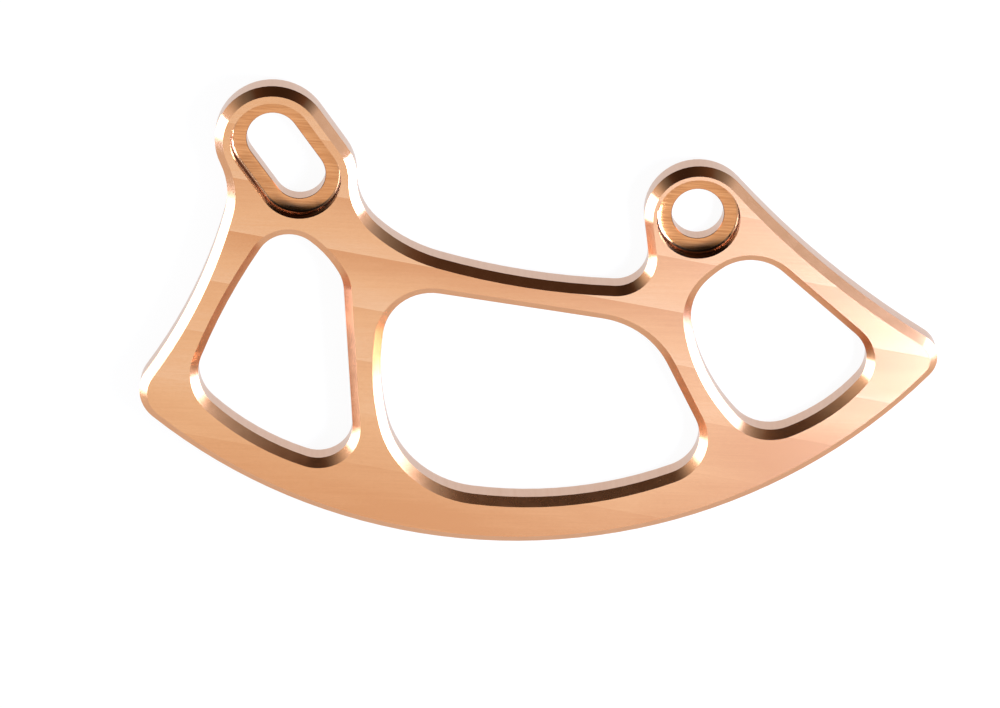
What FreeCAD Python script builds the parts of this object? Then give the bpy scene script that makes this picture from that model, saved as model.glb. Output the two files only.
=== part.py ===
# Chainring guard: one flat plate milled from aluminium. A round screw hole and a slanted screw slot sit in
# two rounded tabs at the top, a long arc forms the rim that takes the knocks, and three windows lighten it.
# The origin is the middle of the round hole on the back face. +Z leaves the front face, which carries the
# screw heads and the wide chamfer, +X runs to the right-hand tip and +Y runs up towards the tabs.
import FreeCAD, Part
import math
import os
import re
from collections import namedtuple
from enum import IntEnum

import Sketcher

NODE = "guard_plate"

# Driving sizes, in millimetres and degrees.
SIZES = {
    # Plate section
    "plate_thickness": 4.4,
    "edge_chamfer": 1.0,
    "back_break": 0.85,
    # Screw hole, screw slot and the seats for their heads
    "hole_diameter": 6.4,
    "counterbore_diameter": 10.2,
    "counterbore_depth": 2.1,
    "seat_corner_radius": 0.4,
    "hole_mouth_break": 0.06,
    "tab_spacing": 50.75,
    "tab_rise_angle": 8.8,
    "slot_travel": 5.6,
    "slot_lean_angle": 34.2,
    # Flat ring left between each seat and the chamfer of its tab
    "hole_land": 0.45,
    "slot_land": 0.9,
    # Rim arc, placed by its lowest point, and the tips where it ends
    "rim_radius": 68.9,
    "rim_drop": 43.1,
    "rim_offset": 21.7,
    "left_tip_angle": 41.3,
    "left_tip_radius": 4.5,
    "right_tip_angle": 47.3,
    "right_tip_radius": 3.3,
    # Hollow flanks from the tabs down to the tips
    "waist_angle": 24.0,
    "waist_radius": 9.2,
    "left_flank_radius": 66.0,
    "right_flank_radius": 116.0,
    # Valley between the tabs, which clears the crank spider
    "neck_angle": 2.0,
    "neck_radius": 7.9,
    "neck_slope": 44.0,
    "shoulder_radius": 19.0,
    "shoulder_slope": 17.0,
    "valley_radius": 87.0,
    "valley_corner_radius": 3.9,
    "boss_side_lean": 7.0,
    # Band of rim below the windows, and the spokes where they stand on it
    "rim_band": 6.7,
    "left_spoke_angle": 15.9,
    "left_spoke_foot": 7.2,
    "right_spoke_angle": 25.6,
    "right_spoke_foot": 6.1,
    # Left window: its upper corners are placed from the lower end of the slot
    "left_peak_back": 2.7,
    "left_peak_drop": 6.2,
    "left_peak_radius": 4.2,
    "left_shoulder_out": 5.2,
    "left_shoulder_drop": 13.6,
    "left_shoulder_radius": 5.0,
    "left_heel_angle": 0.6,
    "left_heel_radius": 5.7,
    "left_toe_radius": 4.3,
    "left_outer_bow": 79.0,
    "left_floor_bow": 32.0,
    "left_roof_bow": 13.5,
    # Middle window: one upper corner is placed from the slot and the other from the hole
    "middle_peak_out": 11.5,
    "middle_peak_drop": 14.4,
    "middle_peak_radius": 6.0,
    "middle_shoulder_back": 6.0,
    "middle_shoulder_drop": 14.2,
    "middle_shoulder_radius": 11.0,
    "middle_heel_radius": 12.6,
    "middle_toe_radius": 5.2,
    "middle_left_bow": 33.0,
    "middle_floor_bow": 50.0,
    # Right window: its upper corners are placed from the hole
    "right_peak_out": 7.3,
    "right_peak_drop": 4.35,
    "right_peak_radius": 6.0,
    "right_shoulder_back": 0.9,
    "right_shoulder_drop": 10.7,
    "right_shoulder_radius": 6.5,
    "right_heel_radius": 5.6,
    "right_toe_angle": 2.1,
    "right_toe_radius": 4.4,
    "right_roof_bow": 19.0,
    "right_left_bow": 24.0,
    "right_floor_bow": 22.0,
}

doc = FreeCAD.newDocument("chainring_guard")
sheet = doc.addObject("Spreadsheet::Sheet", "Sizes")
for row, (alias, value) in enumerate(SIZES.items(), start=1):
    sheet.set(f"A{row}", alias)
    sheet.set(f"B{row}", str(value))
    sheet.setAlias(f"B{row}", alias)
doc.recompute()


# Expressions: a size is a text, a place is a pair of texts, and both can be bound to a sketch.

def in_sheet(text):
    """The text with each size's name written as its cell of the sheet."""
    return re.sub(r"[a-z_]+", lambda word: "Sizes." + word[0] if word[0] in SIZES else word[0], text)


def number(text):
    return float(sheet.evalExpression(in_sheet(text)))


def point(place):
    return number(place[0]), number(place[1])


def shifted(place, right, up):
    return f"{place[0]} + ({right})", f"{place[1]} + ({up})"


def polar(place, distance, angle):
    return shifted(place, f"({distance}) * cos({angle})", f"({distance}) * sin({angle})")


DOWN = "270"
HOLE = ("0", "0")
SLOT_MIDDLE = polar(HOLE, "tab_spacing", "180 - tab_rise_angle")
SLOT_UPPER = polar(SLOT_MIDDLE, "slot_travel / 2", "90 + slot_lean_angle")
SLOT_LOWER = polar(SLOT_MIDDLE, "-slot_travel / 2", "90 + slot_lean_angle")
RIM_CENTRE = ("-rim_offset", "rim_radius - rim_drop")
HOLE_BOSS = "counterbore_diameter / 2 + hole_land + edge_chamfer"
SLOT_BOSS = "counterbore_diameter / 2 + slot_land + edge_chamfer"


# Plane geometry of tangent arcs. An arc turns +1 when it runs anticlockwise and -1 when clockwise.

Arc = namedtuple("Arc", "centre radius turn start end")
Line = namedtuple("Line", "start end")


def direction(angle):
    return math.cos(math.radians(angle)), math.sin(math.radians(angle))


def moved(start, heading, distance):
    return start[0] + heading[0] * distance, start[1] + heading[1] * distance


def meet(first, first_distance, second, second_distance, side):
    """The point at these distances from two points, to the left (+1) or right (-1) of the line between."""
    span = math.dist(first, second)
    along = (first_distance**2 - second_distance**2 + span**2) / (2 * span)
    across = math.sqrt(first_distance**2 - along**2)
    heading = ((second[0] - first[0]) / span, (second[1] - first[1]) / span)
    return moved(moved(first, heading, along), (-heading[1], heading[0]), side * across)


def reach(start, heading, centre, distance):
    """Where a ray from start leaves the circle of this size about the centre."""
    offset = (start[0] - centre[0], start[1] - centre[1])
    along = offset[0] * heading[0] + offset[1] * heading[1]
    rest = offset[0]**2 + offset[1]**2 - distance**2
    return moved(start, heading, math.sqrt(along**2 - rest) - along)


def joint(first, second):
    """Where two tangent circles, each a centre, a radius and a turn, touch."""
    (centre, radius, turn), (other, other_radius, other_turn) = first, second
    share = radius / (radius - turn * other_turn * other_radius)
    return moved(centre, (other[0] - centre[0], other[1] - centre[1]), share)


def beside(circle, heading):
    """Where a line with this heading touches a circle."""
    centre, radius, turn = circle
    return moved(centre, (heading[1], -heading[0]), turn * radius)


# Sketches

Vertex = IntEnum("Vertex", "START END CENTRE")
ORIGIN = (-1, Vertex.START)


def tie(sketch, constraint, name, text):
    sketch.renameConstraint(constraint, name)
    sketch.setExpression(f"Constraints.{name}", in_sheet(text))


def tie_radius(sketch, curve, name, text):
    constraint = sketch.addConstraint(Sketcher.Constraint("Radius", curve, number(text)))
    tie(sketch, constraint, f"{name}_radius", text)


def tie_distance(sketch, axis, curve, vertex, name, text):
    ends = (*ORIGIN, curve, vertex)
    constraint = sketch.addConstraint(Sketcher.Constraint(f"Distance{axis}", *ends, number(text)))
    tie(sketch, constraint, f"{name}_{axis.lower()}", text)


def tie_place(sketch, curve, vertex, name, place):
    if place == HOLE:
        sketch.addConstraint(Sketcher.Constraint("Coincident", curve, vertex, *ORIGIN))
        return
    tie_distance(sketch, "X", curve, vertex, name, place[0])
    tie_distance(sketch, "Y", curve, vertex, name, place[1])


UP = FreeCAD.Vector(0, 0, 1)


def sketch_curve(curve):
    if isinstance(curve, Line):
        return Part.LineSegment(FreeCAD.Vector(*curve.start, 0), FreeCAD.Vector(*curve.end, 0))
    circle = Part.Circle(FreeCAD.Vector(*curve.centre, 0), UP, curve.radius)
    ends = [curve.start, curve.end]
    angles = [math.atan2(y - curve.centre[1], x - curve.centre[0]) for x, y in ends[::curve.turn]]
    return Part.ArcOfCircle(circle, *angles)


def entry(curve):
    return Vertex.END if isinstance(curve, Arc) and curve.turn < 0 else Vertex.START


def leaving(curve):
    return Vertex.START if entry(curve) == Vertex.END else Vertex.END


def draw_loop(sketch, loop):
    """Draws named curves end to end, each tangent to the next, and gives each name its number."""
    curves = list(loop.values())
    numbers = sketch.addGeometry([sketch_curve(curve) for curve in curves])
    for i, curve in enumerate(curves):
        following = (i + 1) % len(curves)
        ends = (numbers[i], leaving(curve), numbers[following], entry(curves[following]))
        sketch.addConstraint(Sketcher.Constraint("Tangent", *ends))
    return dict(zip(loop, numbers))


def new_sketch(body, name, height):
    """A sketch parallel to the back face, lifted to a height that is bound to the sheet."""
    sketch = body.newObject("Sketcher::SketchObject", name)
    plane = next(face for face in body.Origin.OriginFeatures if face.Role == "XY_Plane")
    sketch.AttachmentSupport = (plane, [""])
    sketch.MapMode = "FlatFace"
    sketch.setExpression("AttachmentOffset.Base.z", in_sheet(height))
    return sketch


def finish_sketch(sketch):
    doc.recompute()
    conflict = sketch.solve()
    if conflict or not sketch.FullyConstrained:
        raise RuntimeError(f"{sketch.Name} isn't fully constrained")


# Outline

LEFT_TIP = polar(RIM_CENTRE, "rim_radius - left_tip_radius", f"{DOWN} - left_tip_angle")
RIGHT_TIP = polar(RIM_CENTRE, "rim_radius - right_tip_radius", f"{DOWN} + right_tip_angle")
WAIST = polar(SLOT_UPPER, f"{SLOT_BOSS} + waist_radius", "180 + waist_angle")
NECK = polar(SLOT_LOWER, f"{SLOT_BOSS} + neck_radius", "-neck_angle")
SHOULDER = polar(NECK, "shoulder_radius - neck_radius", "90 - neck_slope")
VALLEY = polar(SHOULDER, "valley_radius - shoulder_radius", "90 - shoulder_slope")


def outline_loop():
    """The outer edge, anticlockwise from the top of the slot tab."""
    hole_boss = (point(HOLE), number(HOLE_BOSS), 1)
    slot_upper = (point(SLOT_UPPER), number(SLOT_BOSS), 1)
    slot_lower = (point(SLOT_LOWER), number(SLOT_BOSS), 1)
    rim = (point(RIM_CENTRE), number("rim_radius"), 1)
    left_tip = (point(LEFT_TIP), number("left_tip_radius"), 1)
    right_tip = (point(RIGHT_TIP), number("right_tip_radius"), 1)
    waist = (point(WAIST), number("waist_radius"), -1)
    neck = (point(NECK), number("neck_radius"), -1)
    shoulder = (point(SHOULDER), number("shoulder_radius"), -1)
    valley = (point(VALLEY), number("valley_radius"), -1)

    flank = number("left_flank_radius")
    flank_centre = meet(waist[0], flank - waist[1], left_tip[0], flank + left_tip[1], -1)
    left_flank = (flank_centre, flank, -1)
    flank = number("right_flank_radius")
    flank_centre = meet(right_tip[0], flank + right_tip[1], hole_boss[0], flank + hole_boss[1], -1)
    right_flank = (flank_centre, flank, -1)

    downhill = direction(number(f"{DOWN} + boss_side_lean"))
    side_start = beside(hole_boss, downhill)
    corner = number("valley_corner_radius")
    corner_line = moved(side_start, (downhill[1], -downhill[0]), corner)
    corner_centre = reach(corner_line, downhill, valley[0], valley[1] - corner)
    valley_corner = (corner_centre, corner, -1)
    side_end = beside(valley_corner, downhill)
    uphill = direction(number("90 + slot_lean_angle"))

    circles = {
        "slot_upper": slot_upper,
        "waist": waist,
        "left_flank": left_flank,
        "left_tip": left_tip,
        "rim": rim,
        "right_tip": right_tip,
        "right_flank": right_flank,
        "hole_boss": hole_boss,
        "boss_side": None,
        "valley_corner": valley_corner,
        "valley": valley,
        "shoulder": shoulder,
        "neck": neck,
        "slot_lower": slot_lower,
        "slot_side": None,
    }
    lines = {
        "boss_side": Line(side_start, side_end),
        "slot_side": Line(beside(slot_lower, uphill), beside(slot_upper, uphill)),
    }
    names = list(circles)
    loop = {}
    for i, name in enumerate(names):
        before = names[i - 1]
        after = names[(i + 1) % len(names)]
        if name in lines:
            loop[name] = lines[name]
            continue
        start = lines[before].end if before in lines else joint(circles[before], circles[name])
        end = lines[after].start if after in lines else joint(circles[name], circles[after])
        loop[name] = Arc(*circles[name], start, end)
    return loop


OUTLINE_RADII = {
    "slot_upper": SLOT_BOSS,
    "slot_lower": SLOT_BOSS,
    "hole_boss": HOLE_BOSS,
    "waist": "waist_radius",
    "left_flank": "left_flank_radius",
    "left_tip": "left_tip_radius",
    "rim": "rim_radius",
    "right_tip": "right_tip_radius",
    "right_flank": "right_flank_radius",
    "valley_corner": "valley_corner_radius",
    "valley": "valley_radius",
    "shoulder": "shoulder_radius",
    "neck": "neck_radius",
}
OUTLINE_CENTRES = {
    "slot_upper": SLOT_UPPER,
    "slot_lower": SLOT_LOWER,
    "hole_boss": HOLE,
    "rim": RIM_CENTRE,
    "valley": VALLEY,
}


def draw_outline(sketch):
    curves = draw_loop(sketch, outline_loop())
    for name, text in OUTLINE_RADII.items():
        tie_radius(sketch, curves[name], name, text)
    for name, place in OUTLINE_CENTRES.items():
        tie_place(sketch, curves[name], Vertex.CENTRE, name, place)
    # Each of these circles already touches its neighbour, so one more distance places it.
    tie_distance(sketch, "Y", curves["waist"], Vertex.CENTRE, "waist", WAIST[1])
    tie_distance(sketch, "X", curves["left_tip"], Vertex.CENTRE, "left_tip", LEFT_TIP[0])
    tie_distance(sketch, "X", curves["right_tip"], Vertex.CENTRE, "right_tip", RIGHT_TIP[0])
    tie_distance(sketch, "Y", curves["neck"], Vertex.CENTRE, "neck", NECK[1])
    lean = math.radians(number("boss_side_lean - 90"))
    constraint = sketch.addConstraint(Sketcher.Constraint("Angle", curves["boss_side"], lean))
    tie(sketch, constraint, "boss_side_heading", "(boss_side_lean - 90) * 1 deg")


# Windows: corners joined by straight or bowed sides, each corner rounded

def side_between(first, second, bow):
    """A side from one sharp corner to the next, straight or bowed away from the window's middle."""
    if not bow:
        return Line(first, second)
    centre = meet(first, bow, second, bow, 1)
    return Arc(centre, bow, 1, first, second)


def heading_at(side, place):
    if isinstance(side, Line):
        span = math.dist(side.start, side.end)
        return (side.end[0] - side.start[0]) / span, (side.end[1] - side.start[1]) / span
    return -(place[1] - side.centre[1]) / side.radius, (place[0] - side.centre[0]) / side.radius


def inset_meeting(side, other, radius, corner):
    """The middle of the circle of this radius that touches both sides inside the corner."""
    if isinstance(side, Line) and isinstance(other, Line):
        heading, next_heading = heading_at(side, corner), heading_at(other, corner)
        turn = heading[0] * next_heading[1] - heading[1] * next_heading[0]
        half_turn = math.asin(turn) / 2
        back = moved(corner, heading, -radius * math.tan(half_turn))
        return moved(back, (-heading[1], heading[0]), radius)
    if isinstance(side, Arc) and isinstance(other, Arc):
        distances = (side.radius - radius, other.radius - radius)
        found = [meet(side.centre, distances[0], other.centre, distances[1], hand) for hand in (1, -1)]
        return min(found, key=lambda place: math.dist(place, corner))
    line, arc = (side, other) if isinstance(side, Line) else (other, side)
    ahead = heading_at(line, corner)
    start = moved(line.start, (-ahead[1], ahead[0]), radius)
    if line is side:
        return reach(start, ahead, arc.centre, arc.radius - radius)
    end = moved(line.end, (-ahead[1], ahead[0]), radius)
    return reach(end, (-ahead[0], -ahead[1]), arc.centre, arc.radius - radius)


def touch_on(side, centre):
    """The point of a side nearest to the middle of a rounding."""
    if isinstance(side, Line):
        ahead = heading_at(side, side.start)
        along = (centre[0] - side.start[0]) * ahead[0] + (centre[1] - side.start[1]) * ahead[1]
        return moved(side.start, ahead, along)
    span = math.dist(side.centre, centre)
    return moved(side.centre, (centre[0] - side.centre[0], centre[1] - side.centre[1]), side.radius / span)


def draw_window(sketch, corners, bows):
    """Draws a window from its corners (place and radius, anticlockwise) and the bow of each side."""
    names = list(corners)
    places = [point(corners[name][0]) for name in names]
    sharp = {}
    for i, name in enumerate(names):
        bow = number(bows[name]) if name in bows else None
        sharp[name] = side_between(places[i], places[(i + 1) % len(names)], bow)
    rounding = {}
    for i, name in enumerate(names):
        before, after = sharp[names[i - 1]], sharp[name]
        radius = number(corners[name][1])
        centre = inset_meeting(before, after, radius, places[i])
        rounding[name] = Arc(centre, radius, 1, touch_on(before, centre), touch_on(after, centre))
    loop = {}
    for i, name in enumerate(names):
        loop[f"{name}_corner"] = rounding[name]
        ends = (rounding[name].end, rounding[names[(i + 1) % len(names)]].start)
        loop[f"{name}_side"] = sharp[name]._replace(start=ends[0], end=ends[1])
    curves = draw_loop(sketch, loop)
    for i, name in enumerate(names):
        tie_radius(sketch, curves[f"{name}_corner"], f"{name}_corner", corners[name][1])
        if name in bows:
            tie_radius(sketch, curves[f"{name}_side"], f"{name}_side", bows[name])
        vertex = sketch.addGeometry(Part.Point(FreeCAD.Vector(*places[i], 0)), True)
        tie_place(sketch, vertex, Vertex.START, name, corners[name][0])
        for side in (curves[f"{names[i - 1]}_side"], curves[f"{name}_side"]):
            sketch.addConstraint(Sketcher.Constraint("PointOnObject", vertex, Vertex.START, side))


def on_band(angle):
    """A corner on the inner edge of the rim's band, at an angle from straight down."""
    return polar(RIM_CENTRE, "rim_radius - rim_band", f"{DOWN} + ({angle})")


def half_foot(foot):
    """Half of a spoke's foot, as an angle at the rim's centre."""
    return f"{foot} / 2 / (rim_radius - rim_band) * 180 / pi"


LEFT_WINDOW = {
    "peak": (shifted(SLOT_LOWER, "-left_peak_back", "-left_peak_drop"), "left_peak_radius"),
    "heel": (on_band("left_heel_angle - left_tip_angle"), "left_heel_radius"),
    "toe": (on_band(f"-left_spoke_angle - {half_foot('left_spoke_foot')}"), "left_toe_radius"),
    "shoulder": (shifted(SLOT_LOWER, "left_shoulder_out", "-left_shoulder_drop"), "left_shoulder_radius"),
}
LEFT_BOWS = {"peak": "left_outer_bow", "heel": "left_floor_bow", "shoulder": "left_roof_bow"}

MIDDLE_WINDOW = {
    "peak": (shifted(SLOT_LOWER, "middle_peak_out", "-middle_peak_drop"), "middle_peak_radius"),
    "heel": (on_band(f"-left_spoke_angle + {half_foot('left_spoke_foot')}"), "middle_heel_radius"),
    "toe": (on_band(f"right_spoke_angle - {half_foot('right_spoke_foot')}"), "middle_toe_radius"),
    "shoulder": (shifted(HOLE, "-middle_shoulder_back", "-middle_shoulder_drop"), "middle_shoulder_radius"),
}
MIDDLE_BOWS = {"peak": "middle_left_bow", "heel": "middle_floor_bow"}

RIGHT_WINDOW = {
    "peak": (shifted(HOLE, "right_peak_out", "-right_peak_drop"), "right_peak_radius"),
    "shoulder": (shifted(HOLE, "-right_shoulder_back", "-right_shoulder_drop"), "right_shoulder_radius"),
    "heel": (on_band(f"right_spoke_angle + {half_foot('right_spoke_foot')}"), "right_heel_radius"),
    "toe": (on_band("right_tip_angle - right_toe_angle"), "right_toe_radius"),
}
RIGHT_BOWS = {"peak": "right_roof_bow", "shoulder": "right_left_bow", "heel": "right_floor_bow"}

WINDOWS = {
    "left_window": (LEFT_WINDOW, LEFT_BOWS),
    "middle_window": (MIDDLE_WINDOW, MIDDLE_BOWS),
    "right_window": (RIGHT_WINDOW, RIGHT_BOWS),
}


# Screw hole and slot

def draw_screw_places(sketch, diameter):
    """A circle at the hole and a round-ended slot, both of one diameter."""
    radius = number(diameter) / 2
    upper = (point(SLOT_UPPER), radius, 1)
    lower = (point(SLOT_LOWER), radius, 1)
    uphill = direction(number("90 + slot_lean_angle"))
    downhill = (-uphill[0], -uphill[1])
    loop = {
        "upper_end": Arc(*upper, beside(upper, uphill), beside(upper, downhill)),
        "left_side": Line(beside(upper, downhill), beside(lower, downhill)),
        "lower_end": Arc(*lower, beside(lower, downhill), beside(lower, uphill)),
        "right_side": Line(beside(lower, uphill), beside(upper, uphill)),
    }
    curves = draw_loop(sketch, loop)
    for name, place in (("upper_end", SLOT_UPPER), ("lower_end", SLOT_LOWER)):
        tie_radius(sketch, curves[name], name, f"{diameter} / 2")
        tie_place(sketch, curves[name], Vertex.CENTRE, name, place)
    circle = sketch.addGeometry(Part.Circle(FreeCAD.Vector(*point(HOLE), 0), UP, radius))
    tie_radius(sketch, circle, "hole", f"{diameter} / 2")
    tie_place(sketch, circle, Vertex.CENTRE, "hole", HOLE)


# Features

NEARLY = 1e-6
SEAT_DEPTH = "counterbore_depth"
SEAT_LEVEL = f"plate_thickness - {SEAT_DEPTH}"


def cut(body, name, draw, depth=None):
    """Cuts a sketch down from the front face, to a depth or right through."""
    before = body.Shape.Volume
    sketch = new_sketch(body, f"{name}_sketch", "plate_thickness")
    draw(sketch)
    finish_sketch(sketch)
    pocket = body.newObject("PartDesign::Pocket", name)
    pocket.Profile = sketch
    if depth:
        pocket.setExpression("Length", in_sheet(depth))
    else:
        pocket.Type = "ThroughAll"
    doc.recompute()
    removed = before - body.Shape.Volume
    if removed <= 0:
        raise RuntimeError(f"{name} cuts nothing")
    print(f"{name}: {removed:.1f} mm3 cut away")


RISES, DROPS = "rises", "drops"


def wall_at(shape, edge, level, side):
    """Whether a face next to the edge rises above this height, or drops below it."""
    boxes = [face.BoundBox for face in shape.ancestorsOfType(edge, Part.Face)]
    reach_up = max(box.ZMax for box in boxes) - level
    reach_down = level - min(box.ZMin for box in boxes)
    return (reach_up if side == RISES else reach_down) > NEARLY


def dress_edges(body, kind, name, height, side, size):
    """Chamfers or fillets every edge at one height where a wall rises or drops from it."""
    level = number(height)
    base = body.Tip
    edges = []
    for i, edge in enumerate(base.Shape.Edges, start=1):
        box = edge.BoundBox
        flat = abs(box.ZMin - level) < NEARLY and abs(box.ZMax - level) < NEARLY
        if flat and wall_at(base.Shape, edge, level, side):
            edges.append(f"Edge{i}")
    dressing = body.newObject(f"PartDesign::{kind}", name)
    dressing.Base = (base, edges)
    dressing.setExpression("Radius" if kind == "Fillet" else "Size", in_sheet(size))
    doc.recompute()
    print(f"{name}: {len(edges)} edges")


body = doc.addObject("PartDesign::Body", NODE)
body.Label = NODE

outline = new_sketch(body, "outline_sketch", "0")
draw_outline(outline)
finish_sketch(outline)
plate = body.newObject("PartDesign::Pad", "plate")
plate.Profile = outline
plate.setExpression("Length", in_sheet("plate_thickness"))
doc.recompute()

for name, (corners, bows) in WINDOWS.items():
    cut(body, name, lambda sketch: draw_window(sketch, corners, bows))

dress_edges(body, "Chamfer", "front_chamfer", "plate_thickness", DROPS, "edge_chamfer")
dress_edges(body, "Chamfer", "back_chamfer", "0", RISES, "back_break")
cut(body, "screw_seats", lambda sketch: draw_screw_places(sketch, "counterbore_diameter"), SEAT_DEPTH)
dress_edges(body, "Fillet", "seat_corners", SEAT_LEVEL, RISES, "seat_corner_radius")
cut(body, "screw_holes", lambda sketch: draw_screw_places(sketch, "hole_diameter"))
dress_edges(body, "Chamfer", "hole_mouths", SEAT_LEVEL, DROPS, "hole_mouth_break")

doc.recompute()
for item in doc.Objects:
    if "Invalid" in item.State or "Error" in item.State:
        raise RuntimeError(f"{item.Name} failed: {item.State}")
shape = body.Shape
if shape.isNull() or not shape.isValid() or len(shape.Solids) != 1:
    raise RuntimeError(f"{NODE} isn't one valid solid")

os.makedirs("parts", exist_ok=True)
shape.exportStep(f"parts/{NODE}.step")
box = shape.BoundBox
print(f"{NODE}: {box.XLength:.2f} x {box.YLength:.2f} x {box.ZLength:.2f} mm, {shape.Volume:.0f} mm3")
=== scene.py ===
# %% [markdown]
# # Dressing a chainring guard
# The guard is one plate of aluminium, milled flat, chamfered round every front edge and anodised the
# colour of copper. Its form comes from CAD and is already right, so this lesson is about finish: how a
# face mill, a chamfer cutter and an anodising bath leave five different surfaces on one piece of metal,
# and how a studio shows them.
#
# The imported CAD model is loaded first, and its box is kept, because the dressed plate has to stay inside
# it.

import math

import bpy
from mathutils import Matrix, Vector


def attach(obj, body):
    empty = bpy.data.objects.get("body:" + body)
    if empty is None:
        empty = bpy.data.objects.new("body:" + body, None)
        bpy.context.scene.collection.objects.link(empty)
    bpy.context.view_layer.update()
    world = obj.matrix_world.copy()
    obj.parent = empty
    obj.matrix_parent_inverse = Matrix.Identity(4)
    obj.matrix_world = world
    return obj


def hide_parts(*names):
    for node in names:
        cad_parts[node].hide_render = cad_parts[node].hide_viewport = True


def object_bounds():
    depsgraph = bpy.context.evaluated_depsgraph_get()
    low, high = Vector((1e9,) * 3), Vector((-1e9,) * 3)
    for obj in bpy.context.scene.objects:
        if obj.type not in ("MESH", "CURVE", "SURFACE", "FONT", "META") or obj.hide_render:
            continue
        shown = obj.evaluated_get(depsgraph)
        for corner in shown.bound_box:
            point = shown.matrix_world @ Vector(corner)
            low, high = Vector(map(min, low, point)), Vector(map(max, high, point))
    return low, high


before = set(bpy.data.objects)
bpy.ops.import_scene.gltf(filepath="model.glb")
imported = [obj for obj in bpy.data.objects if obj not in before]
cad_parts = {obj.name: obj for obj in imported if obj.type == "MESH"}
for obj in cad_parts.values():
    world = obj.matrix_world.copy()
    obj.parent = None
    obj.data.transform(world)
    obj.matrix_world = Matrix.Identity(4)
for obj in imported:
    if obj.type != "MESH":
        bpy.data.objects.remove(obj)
cad_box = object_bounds()

MM = 0.001
scene = bpy.context.scene
scene.view_settings.view_transform = "Standard"
cad_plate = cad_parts["guard_plate"]
print("plate size in mm:", [round(side / MM, 2) for side in cad_box[1] - cad_box[0]])

# %% [markdown]
# ## Node helpers
# Every material and the one geometry tree below are built from nodes. A few small helpers keep that
# readable. One adds a node and sets its properties. One gives a node's input a plain value or joins it to
# another node. The rest do sums, on numbers or on vectors, and what they work on can be a plain value or
# another node's output.

# %% Node helpers
def add_node(tree, kind, values=None, **settings):
    """A new node, with its properties set by name and its inputs set by name or number."""
    node = tree.nodes.new(kind)
    for name, value in settings.items():
        setattr(node, name, value)
    for socket, value in (values or {}).items():
        node.inputs[socket].default_value = value
    return node


def feed(tree, source, node, socket):
    """Joins a node's input to another node's output, or gives it a plain value."""
    if isinstance(source, bpy.types.NodeSocket):
        tree.links.new(source, node.inputs[socket])
    else:
        node.inputs[socket].default_value = source


def sum_of(tree, operation, *things):
    """A math node on one to three numbers."""
    node = add_node(tree, "ShaderNodeMath", operation=operation)
    for number, thing in enumerate(things):
        feed(tree, thing, node, number)
    return node.outputs[0]


def clamped(tree, value, low, high):
    """A number held between two limits."""
    return sum_of(tree, "MINIMUM", sum_of(tree, "MAXIMUM", value, low), high)


def vector_sum(tree, operation, *things):
    """A math node on one or two vectors."""
    node = add_node(tree, "ShaderNodeVectorMath", operation=operation)
    for number, thing in enumerate(things):
        feed(tree, thing, node, number)
    return node.outputs["Value" if operation in ("LENGTH", "DOT_PRODUCT") else "Vector"]


def parts_of(tree, vector):
    """The X, Y and Z of a vector, as the outputs of one node."""
    node = add_node(tree, "ShaderNodeSeparateXYZ")
    feed(tree, vector, node, 0)
    return node.outputs


print("helpers ready")

# %% [markdown]
# ## The metal under every finish
# Anodising grows a clear layer of oxide on bright aluminium and dyes it. Light that goes through the
# layer and back comes out the colour of copper. Light that glances off its surface stays white. The
# Principled shader has a place for each: a metallic base for the first and a coat for the second. All
# five finishes start from this. They differ in how rough the cutter left them, and in how much of the
# oxide's own white gloss they show.

# %% A shared start for the finishes
def anodised(name, colour, roughness, coat_roughness, coat_ior):
    """A material of dyed metal under a clear coat. Returns it with its tree and its shader."""
    material = bpy.data.materials.new(name)
    material.use_nodes = True
    tree = material.node_tree
    shader = tree.nodes["Principled BSDF"]
    values = {"Base Color": (*colour, 1.0), "Metallic": 1.0, "Roughness": roughness, "Coat Weight": 1.0,
              "Coat Roughness": coat_roughness, "Coat IOR": coat_ior}
    for socket, value in values.items():
        feed(tree, value, shader, socket)
    return material, tree, shader


print("shared finish ready")

# %% [markdown]
# ## Patterns that a cutter leaves
# A cutter's marks run along its path, so a noise is stretched along the path and squeezed across it, in
# the plate's own millimetres. The noise then does two things at once: it shifts the colour a little and
# the roughness a little, as real marks do.

# %% Patterns
def turned_mm(tree, degrees, stretch=(1.0, 1.0, 1.0)):
    """The plate's own coordinates in millimetres, turned about the plate's normal, then stretched."""
    place = add_node(tree, "ShaderNodeTexCoord")
    values = {"Scale": (1 / MM,) * 3, "Rotation": (0, 0, math.radians(degrees))}
    turn = add_node(tree, "ShaderNodeMapping", values)
    feed(tree, place.outputs["Object"], turn, "Vector")
    return vector_sum(tree, "MULTIPLY", turn.outputs["Vector"], stretch)


def noise(tree, where, detail=2.0, roughness=0.5):
    """A noise of about one feature to the unit, from 0 to 1."""
    node = add_node(tree, "ShaderNodeTexNoise", {"Scale": 1.0, "Detail": detail, "Roughness": roughness})
    feed(tree, where, node, "Vector")
    return node.outputs["Fac"]


def ramp(tree, value, stops, blending="LINEAR"):
    """Colours along a value from 0 to 1. Each stop is a place and a colour."""
    node = add_node(tree, "ShaderNodeValToRGB")
    node.color_ramp.interpolation = blending
    elements = node.color_ramp.elements
    while len(elements) < len(stops):
        elements.new(1.0)
    for element, (place, colour) in zip(elements, stops):
        element.position = place
        element.color = (*colour, 1.0)
    feed(tree, value, node, "Fac")
    return node.outputs["Color"]


def two_tone(tree, shader, pattern, stops, swing, base):
    """Colours the metal along a pattern, and makes it rougher along it, from a base up by a swing."""
    feed(tree, ramp(tree, pattern, stops), shader, "Base Color")
    feed(tree, sum_of(tree, "MULTIPLY_ADD", pattern, swing, base), shader, "Roughness")


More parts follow.
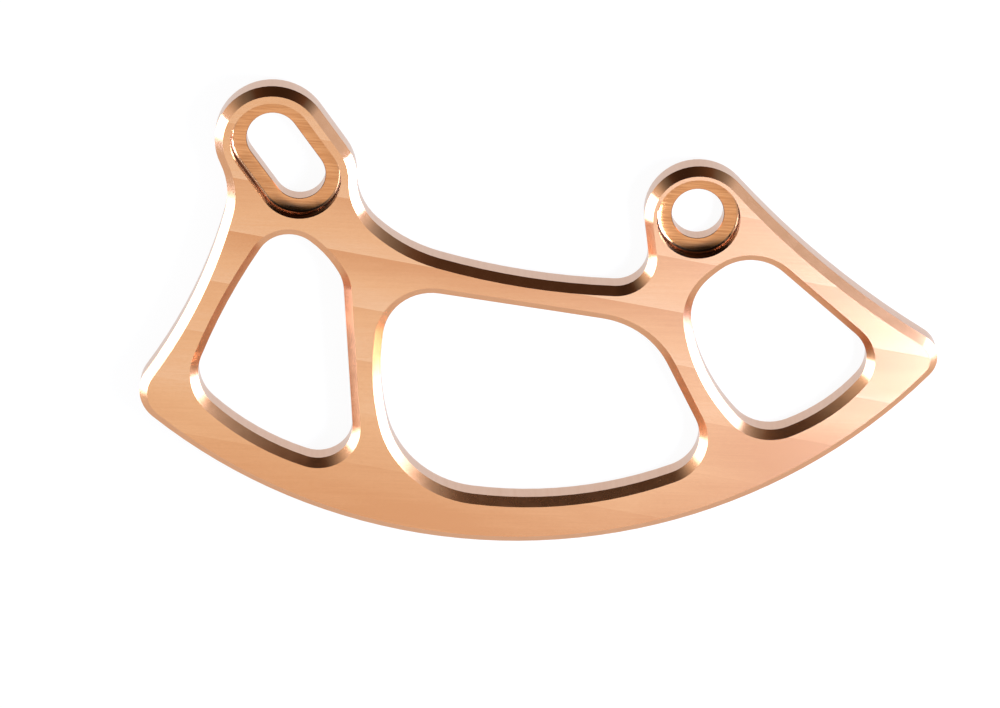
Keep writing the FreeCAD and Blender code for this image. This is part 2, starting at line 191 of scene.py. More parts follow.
def tool_marks(tree, shader, height, depth_mm):
    """Shallow marks of a cutter, as bump on the metal."""
    bump = add_node(tree, "ShaderNodeBump", {"Strength": 1.0, "Distance": depth_mm * MM})
    feed(tree, height, bump, "Height")
    feed(tree, bump.outputs["Normal"], shader, "Normal")


print("patterns ready")

# %% [markdown]
# ## The milled face
# A cutter crossed the front face in straight passes 6.85 mm apart, at a slight slant to the plate. Each
# pass left a band. That each band starts deep in colour at one edge and pales towards the other, where the
# next pass cuts it off, is painted reflection, standing in for the light that the slight tilt of each pass
# mirrors. The bands are what tells a milled face from a painted one. They follow a simple rule, so they are
# worked out from the plate's coordinates: the distance across the passes, divided by the pitch, with its
# whole part dropped. The whole part numbers the passes. A stepped ramp, read at the middle of each step,
# gives each pass its painted tone at its start and at its end, because the passes across the middle pale
# strongly and the lowest ones, along the rim, deepen instead. Those also deepen towards their right-hand
# end, which is painted shade.

# %% Milled face: the passes
PASS_SLANT = 11.3
PASS_PITCH = 6.85
FIRST_PASS = -12.3
PASSES_ABOVE_FIRST = 3
# Painted reflection: the tone of each pass at its start and at its end.
PAINTED_PASS_TONES = [(0.30, 0.60), (0.30, 0.60), (0.12, 0.66), (-0.02, 0.74), (0.34, 0.60), (0.36, 0.62),
              (0.54, 0.34), (0.18, 0.00), (0.10, 0.00)]
RIM_PASSES_FROM = 1.5
# Painted shade: how fast the rim passes deepen, per mm to the right of the hole.
PAINTED_RIM_SHADE_PER_MM = -0.032
DEEP_COPPER = (0.69, 0.27, 0.065)
MID_COPPER = (0.815, 0.39, 0.145)
PALE_COPPER = (0.91, 0.545, 0.31)

milled_face, tree, shader = anodised("milled_face", MID_COPPER,
                                     roughness=0.25, coat_roughness=0.4, coat_ior=1.85)
place = parts_of(tree, turned_mm(tree, PASS_SLANT))
passes = sum_of(tree, "DIVIDE", sum_of(tree, "SUBTRACT", FIRST_PASS, place["Y"]), PASS_PITCH)
within_pass = sum_of(tree, "FRACT", passes)
step = sum_of(tree, "ADD", sum_of(tree, "FLOOR", passes), PASSES_ABOVE_FIRST + 0.5)
steps = [(number / len(PAINTED_PASS_TONES), (*tones, 0.0)) for number, tones in enumerate(PAINTED_PASS_TONES)]
tones = add_node(tree, "ShaderNodeSeparateColor")
feed(tree, ramp(tree, sum_of(tree, "DIVIDE", step, len(PAINTED_PASS_TONES)), steps, "CONSTANT"), tones, "Color")
first_tone, last_tone = tones.outputs["Red"], tones.outputs["Green"]
# Painted reflection: each pass pales from its start to its end.
painted_paling = sum_of(tree, "SUBTRACT", last_tone, first_tone)
band = sum_of(tree, "MULTIPLY_ADD", within_pass, painted_paling, first_tone)
# Painted shade: the rim passes deepen towards the right.
right_of_hole = sum_of(tree, "MAXIMUM", place["X"], 0.0)
on_rim = clamped(tree, sum_of(tree, "SUBTRACT", passes, RIM_PASSES_FROM), 0.0, 1.0)
painted_rim_shade = sum_of(tree, "MULTIPLY", sum_of(tree, "MULTIPLY", right_of_hole, on_rim), PAINTED_RIM_SHADE_PER_MM)
print("passes:", len(PAINTED_PASS_TONES), "tones")

# %% [markdown]
# Long thin noise along the passes adds the fine lines of the cutter's teeth. A broad cloud and a fine
# grain, for the tooth of the oxide, keep the bands from looking printed.

# %% Milled face: the fine marks
TEETH_TURN = 9
TEETH_STRETCH = (0.12, 5.0, 1.0)
CLOUD_STRETCH = (0.06, 0.2, 1.0)
GRAIN_STRETCH = (3.5, 3.5, 3.5)
TEETH_SWING, CLOUD_SWING, GRAIN_SWING = 0.30, 0.40, 0.16
TEETH_DEPTH = 0.0015
COPPERS = [(0.0, DEEP_COPPER), (0.45, MID_COPPER), (1.0, PALE_COPPER)]

teeth = noise(tree, turned_mm(tree, PASS_SLANT - TEETH_TURN, TEETH_STRETCH), 4.0, 0.6)
cloud = noise(tree, turned_mm(tree, PASS_SLANT, CLOUD_STRETCH))
grain = noise(tree, turned_mm(tree, 0, GRAIN_STRETCH), 1.0)
tone = sum_of(tree, "ADD", band, painted_rim_shade)
for marks, swing in ((teeth, TEETH_SWING), (cloud, CLOUD_SWING), (grain, GRAIN_SWING)):
    tone = sum_of(tree, "ADD", tone, sum_of(tree, "MULTIPLY_ADD", marks, swing, -swing / 2))
feed(tree, ramp(tree, tone, COPPERS), shader, "Base Color")
feed(tree, sum_of(tree, "MULTIPLY_ADD", teeth, 0.08, 0.18), shader, "Roughness")
tool_marks(tree, shader, teeth, TEETH_DEPTH)
print("milled face:", len(tree.nodes), "nodes")

# %% [markdown]
# ## The cut chamfers
# The chamfer cutter ran round every edge in one sweep and left a bright, almost polished slope. It is
# what draws the plate's outline in light and dark, so it has a low roughness. A little unevenness keeps
# the reflections from looking like glass, and the slopes grow a little duller from the fixing tabs down
# to the rim.

# %% Cut chamfers
CHAMFER_COPPER = (0.70, 0.32, 0.13)
CHAMFER_PALE = (0.75, 0.36, 0.16)
CHAMFER_EDGE_TINT = (0.8, 0.5, 0.3, 1.0)
RIPPLE_STRETCH = (0.7, 0.7, 0.7)
ROUGHNESS_AT_HOLE = 0.11
ROUGHNESS_PER_MM = -0.0036

cut_chamfer, tree, shader = anodised("cut_chamfer", CHAMFER_COPPER,
                                     roughness=0.18, coat_roughness=0.2, coat_ior=1.6)
feed(tree, CHAMFER_EDGE_TINT, shader, "Specular Tint")
ripple = noise(tree, turned_mm(tree, 0, RIPPLE_STRETCH), 3.0)
upwards = parts_of(tree, turned_mm(tree, 0))["Y"]
dulling = sum_of(tree, "MULTIPLY_ADD", upwards, ROUGHNESS_PER_MM, ROUGHNESS_AT_HOLE)
two_tone(tree, shader, ripple, [(0.3, CHAMFER_COPPER), (0.75, CHAMFER_PALE)], swing=0.06, base=dulling)
print("cut chamfers:", len(tree.nodes), "nodes")

# %% [markdown]
# ## The side walls
# The walls of the outline, the windows and the bores were cut by the side of an end mill. They are paler
# than the face and duller. This comes partly from the oxide's own gloss, which is strong at the flat angle
# they are seen from, and partly from painted reflection: their colour is lifted paler to stand for the
# bright table that they mirror. Fine lines run up them, one for each tooth of the cutter.

# %% Side walls
# Painted reflection: both wall colours are lifted paler, standing in for the bright table that the walls
# mirror.
WALL_COPPER_WITH_PAINTED_SHEEN = (0.64, 0.335, 0.19)
WALL_PALE_WITH_PAINTED_SHEEN = (0.69, 0.39, 0.245)
WALL_STRETCH = (2.2, 2.2, 0.15)

side_wall, tree, shader = anodised("side_wall", WALL_COPPER_WITH_PAINTED_SHEEN,
                                   roughness=0.3, coat_roughness=0.3, coat_ior=1.8)
teeth = noise(tree, turned_mm(tree, 0, WALL_STRETCH), 2.0)
two_tone(tree, shader, teeth, [(0.3, WALL_COPPER_WITH_PAINTED_SHEEN), (0.7, WALL_PALE_WITH_PAINTED_SHEEN)], swing=0.1, base=0.26)
print("side walls:", len(tree.nodes), "nodes")

# %% [markdown]
# ## The screw seats
# The sunken seats were cut last, with a smaller tool that went round each screw hole. What it left depends
# on how far a spot is from the screw. For the round hole that is the distance from a point, and for the
# slot it is the distance from a short line, the one that the middle of the screw can move along.

# %% Distance from the screws
HOLE_RADIUS = 3.2
SEAT_RADIUS = 5.1
SLOT_MIDDLE = (-50.153, 7.764, 0.0)
SLOT_LEAN = math.radians(34.2)
SLOT_HALF_TRAVEL = 2.8


def away_from_screws(tree):
    """Two flat offsets in mm: from the middle of the hole, and from the middle line of the slot."""
    from_hole = turned_mm(tree, 0, (1.0, 1.0, 0.0))
    from_slot = vector_sum(tree, "SUBTRACT", from_hole, SLOT_MIDDLE)
    lean_line = (-math.sin(SLOT_LEAN), math.cos(SLOT_LEAN), 0.0)
    travel = vector_sum(tree, "DOT_PRODUCT", from_slot, lean_line)
    travel = clamped(tree, travel, -SLOT_HALF_TRAVEL, SLOT_HALF_TRAVEL)
    nearest = add_node(tree, "ShaderNodeCombineXYZ")
    for axis, part in zip("XYZ", lean_line):
        feed(tree, sum_of(tree, "MULTIPLY", travel, part), nearest, axis)
    return from_hole, vector_sum(tree, "SUBTRACT", from_slot, nearest.outputs["Vector"])


print("seats", 2 * SEAT_RADIUS, "mm wide round holes", 2 * HOLE_RADIUS, "mm wide")

# %% [markdown]
# The floors of the seats are the deepest in colour, a painted shade of the sunken floors, with fine lines
# that run along the plate. A cutter with rounded corners never leaves a floor quite flat: it dishes it up
# from the hole to the wall, here by about a sixth of a millimetre. That is too little to see as a shape,
# but a mirror shows it, so it goes in as bump, which grows with the square of the distance from the mouth
# of the hole.

# %% Screw seats
# Painted shade: the deep tone darkens the sunken floors of the seats.
SEAT_DEEP_PAINTED_SHADE = (0.57, 0.22, 0.07)
SEAT_COPPER = (0.80, 0.37, 0.15)
SEAT_TURN = 4
SEAT_STRETCH = (0.25, 5.0, 1.0)
DISH_PER_SQUARE_MM = 0.075

screw_seat, tree, shader = anodised("screw_seat", SEAT_COPPER,
                                    roughness=0.14, coat_roughness=0.15, coat_ior=1.35)
teeth = noise(tree, turned_mm(tree, SEAT_TURN, SEAT_STRETCH), 4.0, 0.65)
two_tone(tree, shader, teeth, [(0.3, SEAT_DEEP_PAINTED_SHADE), (0.65, SEAT_COPPER)], swing=0.08, base=0.09)
hole_distance, slot_distance = [vector_sum(tree, "LENGTH", away) for away in away_from_screws(tree)]
from_middle = sum_of(tree, "MINIMUM", slot_distance, hole_distance)
from_mouth = sum_of(tree, "MAXIMUM", sum_of(tree, "SUBTRACT", from_middle, HOLE_RADIUS), 0.0)
dish = sum_of(tree, "MULTIPLY", sum_of(tree, "POWER", from_mouth, 2.0), DISH_PER_SQUARE_MM)
tool_marks(tree, shader, dish, 1.0)
print("screw seats:", len(tree.nodes), "nodes")

# %% [markdown]
# Where the floor turns up into the seat's wall, the corner and the wall are painted browner, most at the
# lower end of each seat. This is painted shade of the sunken corner, and it also keeps the reflections
# between them and the floor from glowing red. How low a spot lies in its own seat is worked out from the
# same two offsets.

# %% Seat corners
# Painted shade: both corner colours darken the seats' corners and walls, the deeper one at their lower
# ends.
CORNER_PAINTED_SHADE_DEEP = (0.2, 0.1, 0.05)
CORNER_PAINTED_SHADE_LIGHT = (0.58, 0.28, 0.13)
RUBBING_STRETCH = (1.5, 1.5, 6.0)

seat_corner, tree, shader = anodised("seat_corner", CORNER_PAINTED_SHADE_DEEP,
                                     roughness=0.15, coat_roughness=0.15, coat_ior=1.3)
# Painted shade grows towards the lower end of each seat.
painted_shade_lowness = 0.0
for away in away_from_screws(tree):
    down = vector_sum(tree, "DOT_PRODUCT", away, (0.0, -1.0 / SEAT_RADIUS, 0.0))
    near = sum_of(tree, "LESS_THAN", vector_sum(tree, "LENGTH", away), 2 * SEAT_RADIUS)
    painted_shade_lowness = sum_of(tree, "MULTIPLY_ADD", down, near, painted_shade_lowness)
feed(tree, ramp(tree, painted_shade_lowness, [(0.25, CORNER_PAINTED_SHADE_LIGHT), (0.8, CORNER_PAINTED_SHADE_DEEP)]), shader, "Base Color")
rubbing = noise(tree, turned_mm(tree, 0, RUBBING_STRETCH), 2.0)
feed(tree, sum_of(tree, "MULTIPLY_ADD", rubbing, 0.06, 0.12), shader, "Roughness")
print("seat corners:", len(tree.nodes), "nodes")

# %% [markdown]
# ## A skin for the plate
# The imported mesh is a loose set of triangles, and it can hold a stored direction for each corner. The
# dressed plate starts as a copy of it without those directions, which are worked out afresh further down.

# %% Copy the CAD mesh
skin_mesh = cad_plate.data.copy()
skin_mesh.materials.clear()
stored_normals = skin_mesh.attributes.get("custom_normal")
if stored_normals:
    skin_mesh.attributes.remove(stored_normals)
skin = bpy.data.objects.new("plate_skin", skin_mesh)
scene.collection.objects.link(skin)
print("copied", len(skin_mesh.polygons), "loose triangles")

# %% [markdown]
# The copy is welded into one closed skin, and each of its faces is given the finish of the cutter that
# made it. Which cutter that was follows a rule: the way the face looks and how high it lies. The faces
# could be picked by hand, but a rule on faces is what Geometry Nodes are good at. A small tree reads each
# face's direction and height and sets its material, with its limits as named inputs.

# %% The tree that gives each face its finish
WELD_DISTANCE = 0.0005 * MM
SEAT_TOP = 3.2 * MM
CRISP_ANGLE = math.radians(40)


def both(tree, first, second):
    """True where two things are true."""
    node = add_node(tree, "FunctionNodeBooleanMath", operation="AND")
    feed(tree, first, node, 0)
    feed(tree, second, node, 1)
    return node.outputs[0]


def compared(tree, value, operation, limit):
    """True where a value is GREATER_THAN or LESS_THAN a limit."""
    node = add_node(tree, "FunctionNodeCompare", operation=operation)
    feed(tree, value, node, "A")
    feed(tree, limit, node, "B")
    return node.outputs[0]


tree = bpy.data.node_groups.new("finish_by_facing", "GeometryNodeTree")
tree.interface.new_socket("Plate", in_out="INPUT", socket_type="NodeSocketGeometry")
limits = {"Weld Distance": WELD_DISTANCE, "Seat Top": SEAT_TOP, "Crisp Angle": CRISP_ANGLE}
identifiers = {}
for name in limits:
    socket = tree.interface.new_socket(name, in_out="INPUT", socket_type="NodeSocketFloat")
    identifiers[name] = socket.identifier
tree.interface.new_socket("Plate", in_out="OUTPUT", socket_type="NodeSocketGeometry")
start = add_node(tree, "NodeGroupInput")
weld = add_node(tree, "GeometryNodeMergeByDistance")
feed(tree, start.outputs["Plate"], weld, "Geometry")
feed(tree, start.outputs["Weld Distance"], weld, "Distance")
print("tree started; limits:", limits)

# %% [markdown]
# A face's lean is how far it looks up: 1 for a level face on top, 0 for an upright one, -1 for a level
# one below. The rules go from general to special, and a later one paints over an earlier one. Every face
# starts as a side wall. A level face is a seat's floor. What leans up, or stands upright near the top, is
# a seat's corner or wall. A slope near the top is a chamfer, and so is every slope that leans down. A
# level face at the top or the bottom is milled.

# %% Rules of finish
NEARLY_FLAT = 0.995
NEARLY_UPRIGHT = 0.02

lean = parts_of(tree, add_node(tree, "GeometryNodeInputNormal").outputs["Normal"])["Z"]
height = parts_of(tree, add_node(tree, "GeometryNodeInputPosition").outputs["Position"])["Z"]
high = compared(tree, height, "GREATER_THAN", start.outputs["Seat Top"])
level = compared(tree, lean, "GREATER_THAN", NEARLY_FLAT)
leans_up = both(tree, compared(tree, lean, "GREATER_THAN", NEARLY_UPRIGHT),
                compared(tree, lean, "LESS_THAN", NEARLY_FLAT))
upright = both(tree, compared(tree, lean, "GREATER_THAN", -NEARLY_UPRIGHT),
               compared(tree, lean, "LESS_THAN", NEARLY_UPRIGHT))
leans_down = both(tree, compared(tree, lean, "GREATER_THAN", -NEARLY_FLAT),
                  compared(tree, lean, "LESS_THAN", -NEARLY_UPRIGHT))
level_below = compared(tree, lean, "LESS_THAN", -NEARLY_FLAT)
rules = [
    (side_wall, None),
    (screw_seat, level),
    (seat_corner, leans_up),
    (seat_corner, both(tree, upright, high)),
    (cut_chamfer, both(tree, leans_up, high)),
    (cut_chamfer, leans_down),
    (milled_face, both(tree, level, high)),
    (milled_face, level_below),
]
print(len(rules), "rules of finish")

# %% [markdown]
# Before it is painted, the welded skin is shaded smooth, apart from its crisp edges, where two faces meet
# at more than 40 degrees. A chamfer meets the face at 45, and the small facets of the rounded corners
# meet at less.

# %% Shade and paint the skin
smooth = add_node(tree, "GeometryNodeSetShadeSmooth")
feed(tree, weld.outputs["Geometry"], smooth, "Geometry")
crisp = add_node(tree, "GeometryNodeSetShadeSmooth", {"Shade Smooth": False}, domain="EDGE")
feed(tree, smooth.outputs["Geometry"], crisp, "Geometry")
bend = add_node(tree, "GeometryNodeInputMeshEdgeAngle").outputs["Unsigned Angle"]
feed(tree, compared(tree, bend, "GREATER_THAN", start.outputs["Crisp Angle"]), crisp, "Selection")
realize = add_node(tree, "GeometryNodeRealizeInstances")
feed(tree, crisp.outputs["Geometry"], realize, "Geometry")
geometry = realize.outputs["Geometry"]
for material, selection in rules:
    paint = add_node(tree, "GeometryNodeSetMaterial", {"Material": material})
    feed(tree, geometry, paint, "Geometry")
    if selection:
        feed(tree, selection, paint, "Selection")
    geometry = paint.outputs["Geometry"]
end = add_node(tree, "NodeGroupOutput")
feed(tree, geometry, end, "Plate")

finishing = skin.modifiers.new("finish_by_facing", "NODES")
finishing.node_group = tree
for name, value in limits.items():
    finishing[identifiers[name]] = value
print("finish tree:", len(tree.nodes), "nodes")

# %% [markdown]
# ## Flat faces that stay flat
# Smooth shading blends the directions of the faces that meet at a corner, so a flat floor would seem to
# curl up beside a rounded corner. A mirror shows the least curl. The tree has marked each real edge as
# crisp, and a Weighted Normal modifier lets the large faces decide the direction everywhere else.

# %% Keep the result as a plain mesh
flatten = skin.modifiers.new("flat_faces", "WEIGHTED_NORMAL")
flatten.weight = 100
flatten.keep_sharp = True

graph = bpy.context.evaluated_depsgraph_get()
finished_mesh = bpy.data.meshes.new_from_object(skin.evaluated_get(graph), depsgraph=graph)
skin.modifiers.clear()
skin.data = finished_mesh
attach(skin, "root")
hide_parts("guard_plate")
faces_of = [0] * len(finished_mesh.materials)
for face in finished_mesh.polygons:
    faces_of[face.material_index] += 1
print("faces of each finish:", dict(zip([material.name for material in finished_mesh.materials], faces_of)))

# %% [markdown]
# ## The floor
# The plate lies on a plain white table. For light that reaches it by diffuse bounces the table is
# ordinary paint, so the plate's shadow falls on it. Seen by the camera it is lifted most of the way to
# white, as a table lit for a catalogue would be, and in the metal it is an even pale grey. Light Path
# tells them apart, so no extra light falls on the plate.

# %% Table paint
TABLE_WHITE = (0.92, 0.92, 0.92, 1.0)
FLOOR_LIFT = 0.93
FLOOR_IN_METAL = 0.9


def seen_directly(tree):
    """1 for rays from the camera or from a gloss, and 0 for diffuse light."""
    path = add_node(tree, "ShaderNodeLightPath")
    return sum_of(tree, "MAXIMUM", path.outputs["Is Camera Ray"], path.outputs["Is Glossy Ray"])


table_paint = bpy.data.materials.new("white_table")
table_paint.use_nodes = True
tree = table_paint.node_tree
paint = tree.nodes["Principled BSDF"]
for socket, value in {"Base Color": TABLE_WHITE, "Roughness": 0.9, "Specular IOR Level": 0.0}.items():
    feed(tree, value, paint, socket)
glow = add_node(tree, "ShaderNodeEmission", {"Color": (1.0, 1.0, 1.0, 1.0)})
by_camera = add_node(tree, "ShaderNodeLightPath").outputs["Is Camera Ray"]
feed(tree, sum_of(tree, "MULTIPLY_ADD", by_camera, 1.0 - FLOOR_IN_METAL, FLOOR_IN_METAL), glow, "Strength")
blend = add_node(tree, "ShaderNodeMixShader")
feed(tree, sum_of(tree, "MULTIPLY_ADD", by_camera, FLOOR_LIFT - 1.0, seen_directly(tree)), blend, "Fac")
feed(tree, paint.outputs["BSDF"], blend, 1)
feed(tree, glow.outputs["Emission"], blend, 2)
feed(tree, blend.outputs["Shader"], tree.nodes["Material Output"], "Surface")
print("table paint:", len(tree.nodes), "nodes")

# %% [markdown]
# The floor is one wide sheet, a hair below the plate's back face so that the two never fight for a pixel.

# %% Lay the floor
FLOOR_REACH = 4.0
FLOOR_GAP = 0.02 * MM


def add_sheet(name, points, patches, material):
    """A mesh of stated points and patches in one material, as an object in the scene."""
    mesh = bpy.data.meshes.new(name)
    mesh.from_pydata(points, [], patches)
    mesh.materials.append(material)
    sheet = bpy.data.objects.new(name, mesh)
    scene.collection.objects.link(sheet)
    return sheet


sides = ((-1, -1), (1, -1), (1, 1), (-1, 1))
floor_corners = [(x * FLOOR_REACH, y * FLOOR_REACH, -FLOOR_GAP) for x, y in sides]
floor = add_sheet("floor", floor_corners, [(0, 1, 2, 3)], table_paint)
print("floor", 2 * FLOOR_REACH, "m wide")

# %% [markdown]
# ## The room
# A white room gives even light from all round. What the camera and the metal see of it has a strength of
# 1, which is white, and the diffuse light that it gives is a little lower.

# %% White room
ROOM_FILL = 0.8

world = bpy.data.worlds.new("white_room")
scene.world = world
world.use_nodes = True
tree = world.node_tree
room = tree.nodes["Background"]
feed(tree, (1.0, 1.0, 1.0, 1.0), room, "Color")
feed(tree, sum_of(tree, "MULTIPLY_ADD", seen_directly(tree), 1.0 - ROOM_FILL, ROOM_FILL), room, "Strength")
print("room fill", ROOM_FILL)

# %% [markdown]
# ## Softboxes
# A bright slope needs something to mirror. A chamfer at 45 degrees, seen from above, mirrors what stands
# low round the table, so two softboxes stand there: one to the left, which turns the left flank white,
# and one to the right. A low strip stands close by on the right. The right-hand window sees more of it
# than the others do, and its white slope runs further round. A small lamp hangs close above the
# right-hand tip, where the milled face blurs it into a pale bloom, and a weak one lights the left-hand
# end. Their light is a little blue, like daylight, because copper takes blue out of it: so the brightest
# slopes come out white and not yellow.

# %% Softboxes
DAYLIGHT = (0.85, 0.97, 1.3)
PALE_DAYLIGHT = (0.88, 1.0, 1.32)
COOL_DAYLIGHT = (0.8, 0.97, 1.55)


def softbox(name, place, aim, size, brightness, tint):
    """An area lamp of a stated width, height and brightness, turned to face a point."""
    width, height = size
    lamp = bpy.data.lights.new(name, "AREA")
    lamp.color = tint
    lamp.shape = "RECTANGLE"
    lamp.size = width
    lamp.size_y = height
    lamp.energy = brightness * 4 * width * height
    holder = bpy.data.objects.new(name, lamp)
    holder.location = place
    holder.rotation_euler = (Vector(aim) - Vector(place)).to_track_quat("-Z", "Y").to_euler()
    holder.visible_camera = False
    scene.collection.objects.link(holder)


centre = (cad_box[0] + cad_box[1]) / 2
softbox("left_softbox", place=(-0.55, -0.06, 0.08), aim=(centre.x, centre.y, 0.08), size=(0.34, 0.16),
        brightness=5.5, tint=DAYLIGHT)
softbox("right_softbox", place=(0.5, -0.07, 0.06), aim=(centre.x, centre.y, 0.06), size=(0.30, 0.12),
        brightness=3.4, tint=COOL_DAYLIGHT)
softbox("right_key", place=(0.095, -0.025, 0.105), aim=(0.027, -0.019, 0.004), size=(0.08, 0.08),
        brightness=28.0, tint=PALE_DAYLIGHT)
softbox("left_fill", place=(-0.19, -0.03, 0.11), aim=(-0.06, -0.01, 0.004), size=(0.06, 0.05),
        brightness=5.0, tint=PALE_DAYLIGHT)
softbox("right_low", place=(0.085, -0.02, 0.019), aim=(0.01, -0.022, 0.006), size=(0.09, 0.03),
        brightness=3.4, tint=COOL_DAYLIGHT)
print(len(bpy.data.lights), "lamps")

# %% [markdown]
# ## What the metal mirrors
# Polished metal hardly shows a colour of its own: it shows its surroundings, tinted. The floors of the
# seats run from pale to black at their lower ends, so something dark reaches up behind the camera and
# fades out overhead. A dome stands for those surroundings. Only reflections see it. Low down its glow
# changes with the angle round the table, given in degrees. Overhead it changes from the front, at -1, to
# the back, at 1.

# %% Glow of the surroundings
GREY = (1.0, 1.0, 1.0)
BROWN = (1.0, 0.60, 0.36)
ROUND_THE_TABLE = [
    (-180, 1.0, GREY), (-150, 1.0, GREY), (-130, 0.35, GREY), (-65, 0.35, GREY), (-40, 1.0, GREY),
    (30, 1.0, GREY), (60, 0.05, BROWN), (120, 0.05, BROWN), (150, 1.0, GREY), (180, 1.0, GREY)]
OVERHEAD = [
    (-1.0, 0.85, GREY), (-0.72, 0.9, GREY), (-0.5, 1.0, GREY), (-0.3, 1.0, GREY), (-0.235, 0.85, GREY),
    (-0.12, 0.24, GREY), (-0.03, 0.015, GREY), (0.05, 0.01, GREY), (1.0, 0.006, GREY)]
SIDES_PULL_FORWARD = 0.6
OVERHEAD_FROM, OVERHEAD_TO = 0.42, 0.72


def glowing(name):
    """A material that only glows. Returns it with its tree and its glow."""
    material = bpy.data.materials.new(name)
    material.use_nodes = True
    tree = material.node_tree
    tree.nodes.remove(tree.nodes["Principled BSDF"])
    glow = add_node(tree, "ShaderNodeEmission")
    feed(tree, glow.outputs["Emission"], tree.nodes["Material Output"], "Surface")
    return material, tree, glow


def glow_stops(glows, reach):
    """Stops of a ramp for glows and tints listed along a scale from minus the reach to the reach."""
    return [(0.5 + 0.5 * place / reach, [glow * part for part in tint]) for place, glow, tint in glows]


surroundings, tree, glow = glowing("surroundings")
place = add_node(tree, "ShaderNodeTexCoord").outputs["Object"]
turn = add_node(tree, "ShaderNodeTexGradient", gradient_type="RADIAL")
feed(tree, place, turn, "Vector")
low_glow = ramp(tree, turn.outputs["Fac"], glow_stops(ROUND_THE_TABLE, 180))
heading = parts_of(tree, vector_sum(tree, "NORMALIZE", place))
aside = sum_of(tree, "MULTIPLY", sum_of(tree, "ABSOLUTE", heading["X"]), SIDES_PULL_FORWARD)
back = sum_of(tree, "MULTIPLY_ADD", sum_of(tree, "SUBTRACT", heading["Y"], aside), 0.5, 0.5)
high_glow = ramp(tree, back, glow_stops(OVERHEAD, 1))
rise = add_node(tree, "ShaderNodeMapRange", {"From Min": OVERHEAD_FROM, "From Max": OVERHEAD_TO},
                interpolation_type="SMOOTHSTEP")
feed(tree, heading["Z"], rise, "Value")
# A Mix node has several sockets of each name, one for each kind of data, so its colours go by number.
blend = add_node(tree, "ShaderNodeMix", data_type="RGBA")
for source, socket in ((rise.outputs["Result"], 0), (low_glow, 6), (high_glow, 7)):
    feed(tree, source, blend, socket)
feed(tree, blend.outputs[2], glow, "Color")
print("surroundings:", len(tree.nodes), "nodes")

# %% [markdown]
# The dome itself is rings of patches from just above the table to just short of the top, and a cap of
# triangles.

# %% Dome of surroundings
DOME_RADIUS = 0.9
DOME_ROWS, DOME_COLUMNS = 12, 48
LOWEST_RING, HIGHEST_RING = math.radians(2), math.radians(88)


def only_in_reflections(thing):
    """Hides a thing from the camera and from diffuse light, and takes away its shadow."""
    thing.visible_camera = False
    thing.visible_diffuse = False
    thing.visible_shadow = False


points = []
for row in range(DOME_ROWS):
    elevation = LOWEST_RING + (HIGHEST_RING - LOWEST_RING) * row / (DOME_ROWS - 1)
    ring_radius = DOME_RADIUS * math.cos(elevation)
    ring_height = DOME_RADIUS * math.sin(elevation)
    for column in range(DOME_COLUMNS):
        azimuth = math.tau * column / DOME_COLUMNS
        points.append((ring_radius * math.cos(azimuth), ring_radius * math.sin(azimuth), ring_height))
top = len(points)
points.append((0, 0, DOME_RADIUS))
patches = []
for row in range(DOME_ROWS):
    for column in range(DOME_COLUMNS):
        here = row * DOME_COLUMNS + column
        beside = row * DOME_COLUMNS + (column + 1) % DOME_COLUMNS
        if row + 1 < DOME_ROWS:
            patches.append((here, beside, beside + DOME_COLUMNS, here + DOME_COLUMNS))
        else:
            patches.append((here, beside, top))
dome = add_sheet("dome", points, patches, surroundings)
only_in_reflections(dome)
print("dome of", len(patches), "patches")

# %% [markdown]
# ## The dark card
# The slopes that face up the picture turn dark at different angles on the two tabs. Two lines of sight
# that cross show how near a thing is, and these cross about 95 mm behind the hole. So the darkness is a
# card that stands close by, black in the middle and fading out to both sides, a little bluer at its
# right. Only reflections see it.

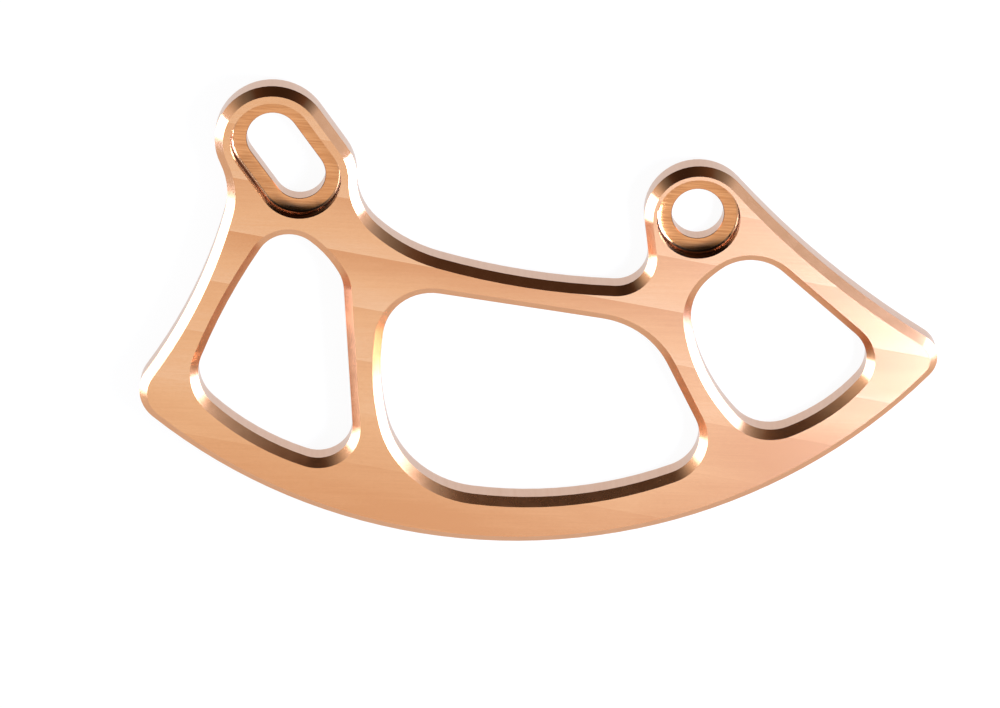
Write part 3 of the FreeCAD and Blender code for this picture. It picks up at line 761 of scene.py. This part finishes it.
# %% Dark card
COOL = (0.95, 1.04, 1.2)
CARD_BEHIND = 0.095
CARD_REACH = 0.36
CARD_HEIGHT = 0.12
ALONG_THE_CARD = [
    (-0.36, 1.0, GREY), (-0.30, 1.0, GREY), (-0.24, 0.85, GREY), (-0.20, 0.65, GREY), (-0.16, 0.38, GREY),
    (-0.135, 0.26, GREY), (-0.105, 0.15, GREY), (-0.09, 0.1, BROWN), (-0.07, 0.062, BROWN),
    (-0.045, 0.048, BROWN), (-0.02, 0.05, BROWN), (0.0, 0.068, BROWN), (0.02, 0.1, BROWN),
    (0.04, 0.145, BROWN), (0.06, 0.2, GREY), (0.08, 0.28, GREY), (0.105, 0.41, COOL), (0.135, 0.6, COOL),
    (0.18, 0.85, COOL), (0.26, 1.0, COOL), (0.36, 1.0, GREY)]

card_paint, tree, glow = glowing("card_paint")
sideways = parts_of(tree, add_node(tree, "ShaderNodeTexCoord").outputs["Object"])["X"]
along_card = sum_of(tree, "MULTIPLY_ADD", sideways, 0.5 / CARD_REACH, 0.5)
feed(tree, ramp(tree, along_card, glow_stops(ALONG_THE_CARD, CARD_REACH)), glow, "Color")
sides = ((-1, 0), (1, 0), (1, 1), (-1, 1))
card_corners = [(x * CARD_REACH, CARD_BEHIND, z * CARD_HEIGHT) for x, z in sides]
card = add_sheet("dark_card", card_corners, [(0, 1, 2, 3)], card_paint)
only_in_reflections(card)
print("dark card with", len(ALONG_THE_CARD), "tones")

# %% [markdown]
# ## The camera
# The photograph looks down at the plate, leaning 22 degrees from upright, from well back, so the far edge
# is hardly smaller than the near one. The lens is long to match. The camera's three axes are worked out
# from those angles.

# %% Camera
CAMERA_TILT = math.radians(21.92)
CAMERA_SWING = math.radians(0.80)
CAMERA_DISTANCE = 630 * MM
CAMERA_AIM = Vector((-24.2, -17.5, 4.4)) * MM
LENS, SENSOR_WIDTH = 184.4, 36

right = Vector((math.cos(CAMERA_SWING), 0, math.sin(CAMERA_SWING)))
away = Vector((-math.sin(CAMERA_SWING) * math.cos(CAMERA_TILT), math.sin(CAMERA_TILT),
               math.cos(CAMERA_SWING) * math.cos(CAMERA_TILT)))
up = away.cross(right)
camera_data = bpy.data.cameras.new("camera")
camera_data.sensor_width = SENSOR_WIDTH
camera_data.lens = LENS
camera_data.clip_start = 0.01
camera = bpy.data.objects.new("camera", camera_data)
turn = Matrix((right, up, away)).transposed().to_4x4()
camera.matrix_world = Matrix.Translation(CAMERA_AIM + away * CAMERA_DISTANCE) @ turn
scene.collection.objects.link(camera)
scene.camera = camera
print("camera at", [round(value, 4) for value in camera.matrix_world.translation])
